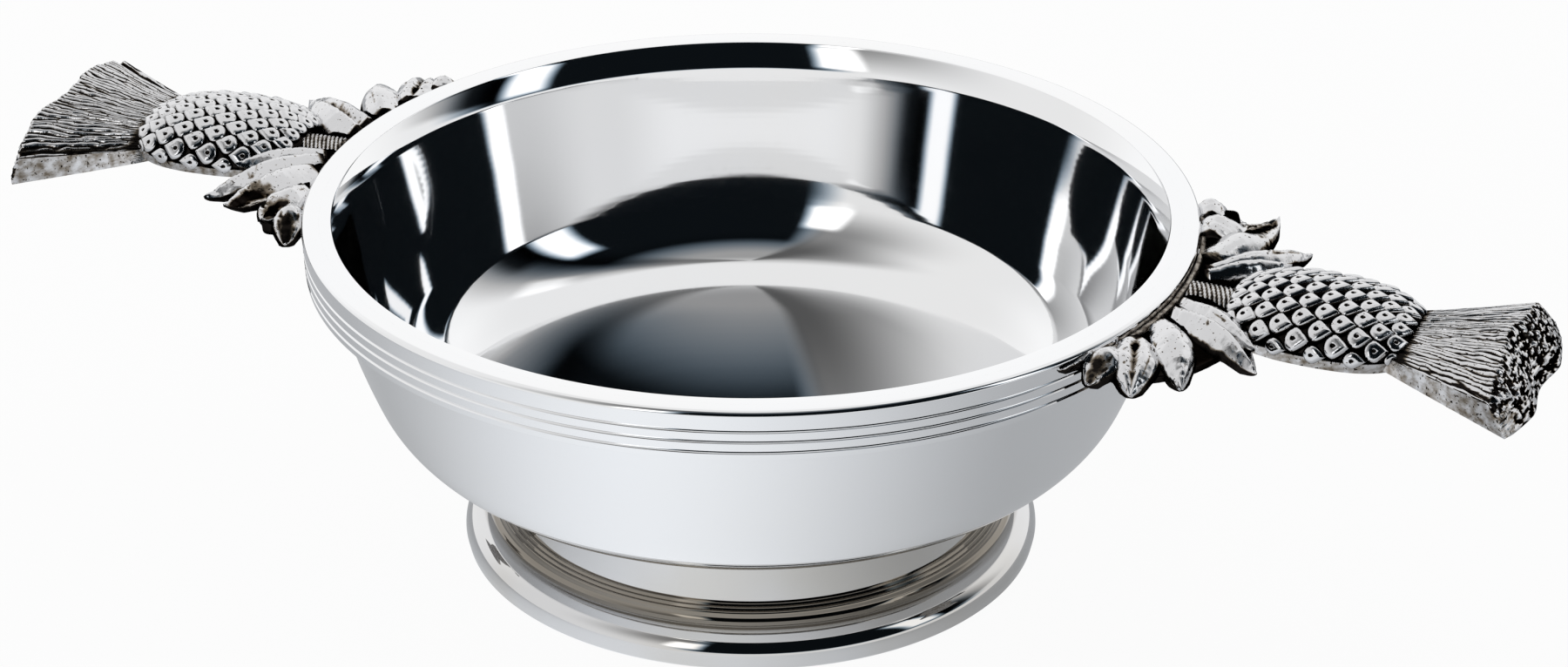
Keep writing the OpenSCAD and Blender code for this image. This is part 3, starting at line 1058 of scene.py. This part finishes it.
    def build_leaf(self, leaf: Leaf, mirrored: bool, rise: float) -> Obj:
        """Shapes one leaf: plump, ridged or folded lengthwise, some with a hollow tip.

        Args:
            leaf: its sizes.
            mirrored: whether it stands on the -Y side of the handle.
            rise: how much higher its tip stands.

        Returns:
            The leaf's object, in the handle's frame.
        """
        obj, u, v = add_grid(f"{self.name}_leaf", 50, 40)
        t = np.sin(u * math.pi * 0.4) / math.sin(math.pi * 0.4)
        s, c = ring(v)
        across = boxy(s, 0.75)
        top = np.clip(c * 6, 0, 1)
        open_ = np.clip(u * 40, 0, 1)
        widest = self.leaf_widest_at
        taper = np.maximum(t - widest, 0) / (1 - widest)
        spread = np.where(t < widest, 0.86 + 0.14 * np.sin(t / widest * math.pi / 2),
                          np.maximum(0, 1 - taper ** 1.7) ** 0.9)
        half = leaf.width / 2 * spread * open_
        arch = self.leaf_arch * np.sin(math.pi * t)
        crest = self.leaf_root_h + arch + (leaf.tip_h + rise - self.leaf_root_h) * t ** 3
        thick = ((self.leaf_root_h - self.leaf_lift) * (1 - 0.45 * t) + arch * (1 - t)) * open_
        thick = thick * np.sqrt(np.clip((1 - t) * 7, 0, 1))
        off = np.where(across > leaf.crest_at, (across - leaf.crest_at) / (1 - leaf.crest_at),
                       (leaf.crest_at - across) / (1 + leaf.crest_at))
        roof = (1 - leaf.ridge) * np.maximum(0, 1 - off ** 2.4) ** 0.55 + leaf.ridge * (1 - off) ** 0.85
        groove = np.exp(-((across - leaf.fold_at) / 0.2) ** 2)
        groove = groove * np.sin(math.pi * np.clip(t * 1.02, 0, 1)) ** 0.5
        dish = np.maximum(0, 1 - (across / 0.85) ** 2) * smoothstep(0.35, 0.62, t) * smoothstep(1.0, 0.9, t)
        drift = 0.16 * grain(t * 3, across * 0.8, t * 0, 1.0, leaf.root * 5)
        vein = np.abs(np.sin(math.pi * (across * 1.9 + drift * 2 + leaf.crest_at)))
        vein = (smoothstep(0.3, 0.0, vein) * smoothstep(0.06, 0.2, t) * smoothstep(0.98, 0.7, t)
                * smoothstep(0.95, 0.8, np.abs(across)))
        x = (leaf.length - 0.3) * t
        y = half * across + leaf.length * math.radians(leaf.bend) * t * t / 2
        z = crest - thick + thick * roof * top - top * (leaf.fold * groove + leaf.hollow * dish)
        rough = grain(x, y, z, 0.7, leaf.root * 7) + 0.5 * grain(x, y, z, 2.2, leaf.root * 3)
        live = shut_ends(u, 20)
        pit = smoothstep(0.22, 0.5, grain(x, y, z, 1.9, leaf.root * 11))
        z = z + (self.leaf_rough * rough - self.leaf_rough * pit - self.vein_depth * vein) * top * live
        y = y + 0.08 * rough * across * live
        # Painted shade: the leaf's sides and underside, where the roof falls away, are darkened. The root,
        # where it meets the pad, is darkened as patina and painted shade. The fold, dish, veins and pits carry
        # patina.
        recess = 0.62 * min(1.0, leaf.fold * 2) * groove * top + 0.7 * min(1.0, leaf.hollow) * dish * top
        recess = recess + 0.85 * smoothstep(0.55, 0.22, roof * top) + 0.6 * smoothstep(0.08, 0.0, t)
        recess = recess + 0.5 * pit * (0.2 + 0.5 * (1 - t)) + 0.16 * rough + 0.5 * vein * top
        bearing = leaf.root / self.bowl.rim_r
        course = math.radians(leaf.heading) - bearing
        px = self.bowl.rim_r + self.leaf_root_gap + x * math.cos(course) - y * math.sin(course)
        py = x * math.sin(course) + y * math.cos(course)
        wx = px * math.cos(bearing) - py * math.sin(bearing) - self.bowl.rim_r
        wy = px * math.sin(bearing) + py * math.cos(bearing)
        return shape_grid(obj, (wx, -wy if mirrored else wy, z), 180, recess)

    def build_stem(self) -> Obj:
        """Shapes the short stem with its slanting rope turns.

        Returns:
            The stem's object, in the handle's frame.
        """
        obj, u, v = add_grid(f"{self.name}_stem", 90, 40)
        start, end = self.seam_w + 0.1, self.bulb_start + 3.0
        x = start + (end - start) * u
        s, c = ring(v)
        lean = math.tan(math.radians(self.rope_slant))
        turns = (x + lean * self.stem_r * s) / (self.bulb_start / self.rope_turns)
        ridge = np.abs(np.sin(math.pi * turns)) ** 0.7
        r = (self.stem_r - 0.1 + self.rope_rise * ridge) * shut_ends(u, 60)
        z = np.maximum(self.stem_lift, r * c)
        return shape_grid(obj, (x, r * s, z), 60, 0.95 - 0.75 * ridge)

    def build_pad(self) -> Obj:
        """Shapes the pad along the rim that the leaves spring from.

        Returns:
            The pad's object, in the handle's frame.
        """
        obj, u, v = add_grid(f"{self.name}_pad", 120, 28)
        reach = self.pad_l / self.bowl.rim_r / 2
        bearing = (u - 0.5) * 2 * reach
        shut = shut_ends(u, 80)
        s, c = ring(v)
        out = self.pad_w / 2 * (1 + boxy(s, 0.5) * shut)
        z = self.pad_h / 2 * (1 + boxy(c, 0.5) * shut)
        r = self.bowl.rim_r + self.seam_w + 0.02 + out
        x, y = r * np.cos(bearing) - self.bowl.rim_r, r * np.sin(bearing)
        z = z + 0.08 * grain(x, y, z, 1.3) * np.clip(c, 0, 1) * shut
        return shape_grid(obj, (x, y, z), 60, 0.72 + 0.3 * grain(x, y, z, 1.1))

    def build_web(self) -> Obj:
        """Shapes the web of metal behind the leaves, with a rough upright edge, painted near black as the shade
        between the leaves.

        Returns:
            The web's object, in the handle's frame.
        """
        obj, u, v = add_grid(f"{self.name}_web", 120, 48)
        turn = (u - 0.5) * math.pi * 0.96
        out_x, y = self.web_reach * np.cos(turn), self.web_l / 2 * np.sin(turn)
        out_x = out_x * np.where(y > 0, self.web_far_share, self.near_web_share)
        in_r = self.bowl.rim_r + self.seam_w + 0.05
        in_x = np.sqrt(in_r ** 2 - y * y) - self.bowl.rim_r
        s, c = ring(v)
        shut = shut_ends(u, 60)
        share = (1 + boxy(s, 0.35) * shut) / 2
        rough = 0.12 * grain(out_x, y, c, 1.2, 8.0) * share * shut
        x = in_x + (out_x - in_x) * share - np.abs(rough)
        high = self.web_h - (self.web_h - self.web_edge_h) * smoothstep(0.1, 1.0, share)
        z = self.web_lift + high / 2 * (1 + boxy(c, 0.35) * shut)
        # Painted shade: the whole web is near black, standing in for the shade between the leaves.
        return shape_grid(obj, (x, y, z), 60, 0.9 + 0.3 * grain(x * 0.3, y, z * 0.2, 1.2, 4.0))

    def floret_reach(self, g: Array) -> Array:
        """Reach of the floret's lower edge.

        Args:
            g: share of the half width, from -1 to 1.

        Returns:
            The distance from the floret's start.
        """
        dip = np.maximum(0, 1 - ((g - self.notch_at) / self.notch_w) ** 2) ** 2
        corner = smoothstep(0.86, 1.0, np.abs(g)) ** 2
        return self.floret_l - self.floret_bow * g * g - self.floret_notch * dip - 0.2 * corner

    def build_floret(self) -> Obj:
        """Shapes the floret: a fan of fine strands on a plain edge, with a rough slanting end.

        Returns:
            The floret's object, in the handle's frame.
        """
        obj, u, v = add_grid(f"{self.name}_floret", 76, 400)
        edge, face, length = 0.06, 0.74, 0.7
        t = np.clip(u / length, 0, 1)
        end = np.clip((u - length) / (1 - length), 0, 1)
        half = (self.floret_neck_w + (self.floret_w - self.floret_neck_w) * t ** self.floret_flare) / 2
        high = self.floret_neck_h + (self.floret_h - self.floret_neck_h) * t
        low = self.floret_lift - (self.floret_lift + self.floret_droop) * t ** self.droop_power
        g = np.interp(v, [0, edge, edge + face, 2 * edge + face, 1], [-1, -1, 1, 1, -1])
        on_top = (v >= edge) & (v <= edge + face)
        on_side = (v < edge) | ((v > edge + face) & (v <= 2 * edge + face))
        climb = np.where(v < edge, v / edge, np.clip((2 * edge + face - v) / edge, 0, 1))
        still = g * 0
        wander = 0.5 * grain(t * 4, g * 5, still, 1.0, 3.0) + 0.2 * grain(t * 14, g * 14, still, 1.0, 9.0)
        rank = (g + 1) / 2 * self.strand_count + wander * 1.4
        uneven = 0.65 + 0.45 * grain(t * 3, np.floor(rank), still, 1.0, 7.0)
        strand = np.clip(np.abs(np.sin(math.pi * rank)) ** 0.8, 0, 1)
        tuft = np.abs(np.sin(math.pi * (g * 4.2 + 0.5 * grain(t * 3, g * 3, still, 1.0, 5.0)))) ** 0.5
        fade = smoothstep(0.0, 0.12, t)
        rim = np.exp(-((np.abs(g) - 0.93) / 0.025) ** 2)
        tall = high * (1 - self.floret_crown * np.abs(g) ** self.crown_power)
        relief = self.strand_depth * (1 - strand) * uneven + self.tuft_depth * (1 - tuft)
        relief = relief + self.rim_groove * rim
        live = smoothstep(1.0, 0.97, np.abs(g))
        top = np.where(on_top, tall - relief * fade * live, tall)
        z = np.where(on_top, low + top, np.where(on_side, low + tall * climb, low))
        share = np.where(on_top, 1.0, np.where(on_side, climb, 0.0))
        y = (half - self.floret_draft * share) * g
        ragged = 0.45 * grain(g * 16, still, still, 1.0, 2.0) + 0.35 * grain(g * 5, still, still, 1.0, 6.0)
        rake = self.floret_rake * (1 - (1 - self.side_rake_share) * np.abs(g) ** self.crown_power)
        rake = rake + ragged * live
        reach = self.floret_reach(g)
        x = self.floret_start + (reach - rake * share) * t
        middle = low + tall * 0.42
        z_end = z + (middle - z) * end ** 0.9
        share_end = np.clip((z_end - low) / np.maximum(tall, 0.1), 0, 1)
        swell = self.floret_swell * np.sin(math.pi * share_end)
        x_end = self.floret_start + reach - rake * share_end + swell
        stipple = grain(x_end * 1.2, y * 0.9, z_end * 1.6, 1.0, 2.0)
        stipple = stipple + grain(x_end * 2.6, y * 1.8, z_end * 3.4, 1.0, 4.0)
        plain = smoothstep(-0.72, -0.84, g) * smoothstep(0.75, 0.5, share_end)
        at_end = end > 0
        bumps = self.stipple_depth * stipple * smoothstep(0.0, 0.15, end) * (1 - 0.7 * plain)
        x = np.where(at_end, x_end + bumps, x)
        z = np.where(at_end, z_end, z)
        speck = grain(x, y, z, 1.4, 6.0) + 0.7 * grain(x, y, z, 4.0, 3.0)
        turn = math.radians(self.floret_twist)
        level = self.floret_h / 2
        points = (x, y * math.cos(turn) - (z - level) * math.sin(turn),
                  level + y * math.sin(turn) + (z - level) * math.cos(turn))
        black = smoothstep(0.3, 0.62, (1 - strand) * (0.7 + 0.6 * uneven)) + 0.7 * smoothstep(0.55, 0.15, tuft)
        recess = np.where(on_top, 0.08 + 0.8 * black + 1.6 * self.rim_groove * rim, 0.37 + 0.07 * speck)
        # Painted shadow: the strands darken towards the floret's neck, in the valley where it meets the bulb.
        recess = np.where(on_top, recess + 0.8 * smoothstep(0.28, 0.1, t), recess)
        recess = np.where(at_end, (0.6 - 1.9 * stipple) * (1 - plain) + plain * (0.36 + 0.2 * speck), recess)
        return shape_grid(obj, points, 70, recess)

    def build(self) -> Obj:
        """Builds the whole casting.

        Returns:
            The casting as one object, in the cup's frame.
        """
        parts = [self.build_bulb(), self.build_scales(), self.build_stem(), self.build_pad(), self.build_web(),
                 self.build_floret()]
        parts += [self.build_leaf(leaf, True, 0.0) for leaf in self.near_leaves]
        parts += [self.build_leaf(leaf, False, self.front_leaf_raise) for leaf in self.far_leaves]
        obj = join(parts, f"{self.name}_casting")
        obj.data.transform(self.to_cup())
        return obj

    def build_seam(self) -> Obj:
        """Runs the solder between the casting and the rim band, uneven along its length.

        Returns:
            The seam's object, in the cup's frame.
        """
        obj, u, v = add_grid(f"{self.name}_solder_run", 240, 16)
        reach = self.pad_l / self.bowl.rim_r / 2
        bearing = (u - 0.5) * 2 * reach + math.radians(self.side.value)
        s, c = ring(v)
        shut = shut_ends(u, 60)
        lumps = 0.16 * grain(u * 60, u * 0, u * 0, 1.0, 1.5) + 0.1 * grain(u * 25, v * 4, u * 0, 1.0, 2.5)
        width = self.seam_w - 0.04
        out = self.bowl.rim_r + 0.02 + width / 2 * (1 + boxy(s, 0.5) * shut)
        z = self.back_z + self.pad_h / 2 * (1 + boxy(c, 0.4) * shut) + lumps * np.clip(c, 0, 1) * shut
        return shape_grid(obj, (out * np.cos(bearing), out * np.sin(bearing), z), 60)


@dataclass(frozen=True)
class Patch:
    """A soft-edged part of the tent, in degrees: where it rises and falls round the cup and upwards."""

    round_rise: Point
    round_fall: Point
    up_rise: Point
    up_fall: Point = (180.0, 190.0)
    strength: float = 1.0

    def mask(self, n: Nodes, azimuth: Socket, elevation: Socket) -> Socket:
        """Marks the patch.

        Args:
            n: the tent's nodes.
            azimuth: direction round the cup.
            elevation: direction above the floor.

        Returns:
            1 inside it, 0 outside it.
        """
        sides = n.times(n.ramp(azimuth, *self.round_rise), n.ramp(azimuth, *self.round_fall, 1.0, 0.0))
        rows = n.times(n.ramp(elevation, *self.up_rise), n.ramp(elevation, *self.up_fall, 1.0, 0.0))
        return n.times(sides, rows)


@dataclass
class Studio:
    """The floor, the light tent with its dark front, and the camera, in metres and degrees."""

    aim: tuple[float, float, float] = (0.0, 0.0, 0.02831)
    distance: float = 0.52133
    azimuth: float = 22.1
    elevation: float = 26.784
    focal_px: float = 4587.8
    image_w: int = 1800
    centre_px: float = 862.0
    sensor_mm: float = 36.0
    tent_r: float = 2.0
    floor_size: float = 12.0
    painted_floor_glow_tint: Colour = (0.94, 0.967, 1, 1)
    cloth_level: float = 0.92
    roof_dimming: float = 0.55
    shade_tint: Colour = (0.55, 0.78, 1.0, 1)
    glow_behind: Patch = Patch((100.0, 140.0), (200.0, 210.0), (-2.0, 2.0), (30.0, 50.0), 0.16)
    opening: Patch = Patch((-32.0, -17.0), (80.0, 104.0), (7.5, 10.5), (60.0, 80.0), 0.992)
    shades: tuple[Patch, ...] = (
        Patch((-88.0, -36.0), (-30.0, -18.0), (8.0, 50.0), strength=0.7),
        Patch((60.0, 80.0), (92.0, 120.0), (12.0, 18.0), strength=0.66),
        Patch((73.0, 77.0), (88.0, 98.0), (13.0, 16.0), (30.0, 40.0), 0.9),
    )
    strips: tuple[Patch, ...] = (
        Patch((-36.0, -30.0), (-23.0, -17.0), (14.0, 22.0), (40.0, 48.0), 1.3),
        Patch((59.0, 65.0), (73.0, 79.0), (9.0, 17.0), (42.0, 50.0), 1.3),
        Patch((97.0, 103.0), (113.0, 119.0), (42.0, 50.0), (54.0, 62.0), 0.4),
    )

    def build_camera(self) -> None:
        """Sets the camera at the photograph's viewing angle."""
        data = bpy.data.cameras.new("camera")
        camera = bpy.data.objects.new("camera", data)
        bpy.context.scene.collection.objects.link(camera)
        turn, rise = math.radians(self.azimuth), math.radians(self.elevation)
        out = Vector((math.cos(rise) * math.sin(turn), -math.cos(rise) * math.cos(turn), math.sin(rise)))
        camera.location = Vector(self.aim) + self.distance * out
        camera.rotation_euler = (-out).to_track_quat("-Z", "Y").to_euler()
        data.sensor_fit = "HORIZONTAL"
        data.sensor_width = self.sensor_mm
        data.lens = self.focal_px / self.image_w * self.sensor_mm
        data.shift_x = 0.5 - self.centre_px / self.image_w
        data.clip_start = 0.01
        bpy.context.scene.camera = camera

    def build_floor(self) -> None:
        """Lays the pale floor, which keeps the cup's soft shadow; in reflections it shows mostly a glow painted
        brightest a little to the camera's left and darker to both sides, standing in for the fall-off of the
        studio light and the cup's shadow on the floor.
        """
        bpy.ops.object.select_all(action="DESELECT")
        bpy.ops.mesh.primitive_plane_add(size=self.floor_size)
        floor = bpy.context.object
        floor.name = "floor"
        material, n = new_material("floor_white")
        path = n.add("ShaderNodeLightPath")
        azimuth, _ = self.directions(n)
        # Painted light for reflections of the floor: brightest a little to the camera's left, falling off to
        # both sides.
        sides = n.times(n.ramp(azimuth, -105.0, -20.0, 0.5, 1.15),
                        n.ramp(azimuth, -22.0, 62.0, 1.0, 0.43))
        lit = n.add("ShaderNodeBsdfDiffuse", {"Color": (0.9, 0.9, 0.91, 1)})
        plain = n.add("ShaderNodeEmission", {"Color": WHITE, "Strength": 1.0})
        # The floor glows with this painted light for glossy rays.
        painted_floor_glow = n.add("ShaderNodeEmission", {"Color": self.painted_floor_glow_tint, "Strength": sides})
        share = n.times(path.outputs["Is Camera Ray"], 0.95)
        mirrored = n.times(path.outputs["Is Glossy Ray"], 0.8)
        mixed = n.add("ShaderNodeMixShader", {0: mirrored, 1: lit.outputs[0], 2: painted_floor_glow.outputs[0]})
        mixed = n.add("ShaderNodeMixShader", {0: share, 1: mixed.outputs[0], 2: plain.outputs[0]})
        n.add("ShaderNodeOutputMaterial", {0: mixed.outputs[0]})
        floor.data.materials.append(material)

    def directions(self, n: Nodes) -> tuple[Socket, Socket]:
        """Directions from the cup, for the stage's materials.

        Args:
            n: the material's nodes.

        Returns:
            The direction round the cup in degrees, 0 towards the camera and positive to its right, and the
            height above the floor in degrees.
        """
        place = n.add("ShaderNodeTexCoord").outputs["Object"]
        turn = math.radians(90 - self.azimuth)
        front = n.add("ShaderNodeMapping", {"Vector": place, "Rotation": (0, 0, turn)})
        split = n.add("ShaderNodeSeparateXYZ", {0: front.outputs[0]})
        azimuth = n.math("DEGREES", n.math("ARCTAN2", split.outputs[1], split.outputs[0]))
        flat = n.math("SQRT", n.math("ADD", n.math("POWER", split.outputs[0], 2.0),
                                     n.math("POWER", split.outputs[1], 2.0)))
        elevation = n.math("DEGREES", n.math("ARCTAN2", split.outputs[2], flat))
        return azimuth, elevation

    def build_tent(self) -> None:
        """Raises the tent: white cloth, a dark opening round the camera, and strip lights."""
        bpy.ops.object.select_all(action="DESELECT")
        bpy.ops.mesh.primitive_uv_sphere_add(segments=96, ring_count=48, radius=self.tent_r)
        tent = bpy.context.object
        tent.name = "tent"
        bpy.ops.object.shade_smooth()
        material, n = new_material("tent_cloth")
        azimuth, elevation = self.directions(n)
        ahead = n.times(n.math("COSINE", n.math("RADIANS", elevation)),
                       n.math("COSINE", n.math("RADIANS", azimuth)))
        roof = n.times(n.ramp(elevation, 50.0, 75.0), n.ramp(ahead, -0.1, 0.1))
        level = n.math("SUBTRACT", self.cloth_level, n.times(roof, self.roof_dimming))
        behind = self.glow_behind.mask(n, n.math("ABSOLUTE", azimuth), elevation)
        level = n.math("ADD", level, n.times(behind, self.glow_behind.strength))
        dark = self.opening.mask(n, azimuth, elevation)
        masks = [(dark, self.opening.strength)]
        masks += [(shade.mask(n, azimuth, elevation), shade.strength) for shade in self.shades]
        for mask, depth in masks:
            level = n.times(level, n.math("SUBTRACT", 1.0, n.times(mask, depth)))
        tinted: Socket = dark
        for strip in self.strips:
            mask = strip.mask(n, azimuth, elevation)
            level = n.math("ADD", level, n.times(mask, strip.strength))
            tinted = n.math("SUBTRACT", tinted, mask)
        colour = n.blend(n.math("MAXIMUM", 0.0, tinted), WHITE, self.shade_tint)
        glow = n.add("ShaderNodeEmission", {"Color": colour, "Strength": level})
        n.add("ShaderNodeOutputMaterial", {0: glow.outputs[0]})
        material.cycles.emission_sampling = "NONE"
        tent.data.materials.append(material)
        tent.visible_camera = False

    def build_world(self) -> None:
        """Makes the background white."""
        world = bpy.data.worlds.new("backdrop")
        bpy.context.scene.world = world
        world.use_nodes = True
        n = Nodes(world.node_tree)
        back = n.add("ShaderNodeBackground", {"Color": WHITE, "Strength": 1.0})
        n.add("ShaderNodeOutputWorld", {0: back.outputs[0]})

    def build(self) -> None:
        """Sets up the studio."""
        bpy.context.scene.view_settings.view_transform = "Standard"
        self.build_camera()
        self.build_floor()
        self.build_tent()
        self.build_world()


def main() -> None:
    """Builds and dresses the cup, piece by piece."""
    logging.basicConfig(level=logging.INFO, format="%(name)s: %(message)s")
    polished = MirrorPewter().material("polished_pewter", 0.15)
    bowl = Bowl()
    foot = Foot(bowl)
    polished_foot = MirrorPewter(tint=(0.68, 0.68, 0.685, 1.0), warm_tint=(0.6, 0.575, 0.53, 1.0),
                                 shade_and_residue_z_m=foot.shade_and_residue_z_m()).material("polished_pewter_foot", 0.8)
    antiqued = AntiquedPewter().material("antiqued_pewter")
    solder = SoftSolder().material("soft_solder")
    pieces = [
        Piece(bowl.build_bowl(), ("bowl",), Slot.POLISHED, polished),
        Piece(bowl.build_band(), ("rim_band",), Slot.POLISHED, polished),
        Piece(foot.build_foot(), ("foot",), Slot.POLISHED, polished_foot),
        Piece(foot.build_solder(), ("foot_solder",), Slot.SOLDER, solder),
    ]
    right = Handle(Side.RIGHT, bowl, tilt=1.2, back_depth=3.8, floret_twist=0.0, floret_rake=4.8,
                   rim_groove=0.08, front_leaf_raise=0.0, near_web_share=1.0)
    left = Handle(Side.LEFT, bowl, tilt=1.8, back_depth=4.2, floret_twist=-6.0, floret_rake=2.2,
                  rim_groove=0.35, front_leaf_raise=1.3, near_web_share=0.62)
    for handle in (right, left):
        pieces.append(Piece(handle.build(), (handle.name,), Slot.ANTIQUED, antiqued))
        pieces.append(Piece(handle.build_seam(), (f"{handle.name}_solder",), Slot.SOLDER, solder))
    for piece in pieces:
        piece.place()
    Studio().build()


if __name__ == "__main__":
    main()
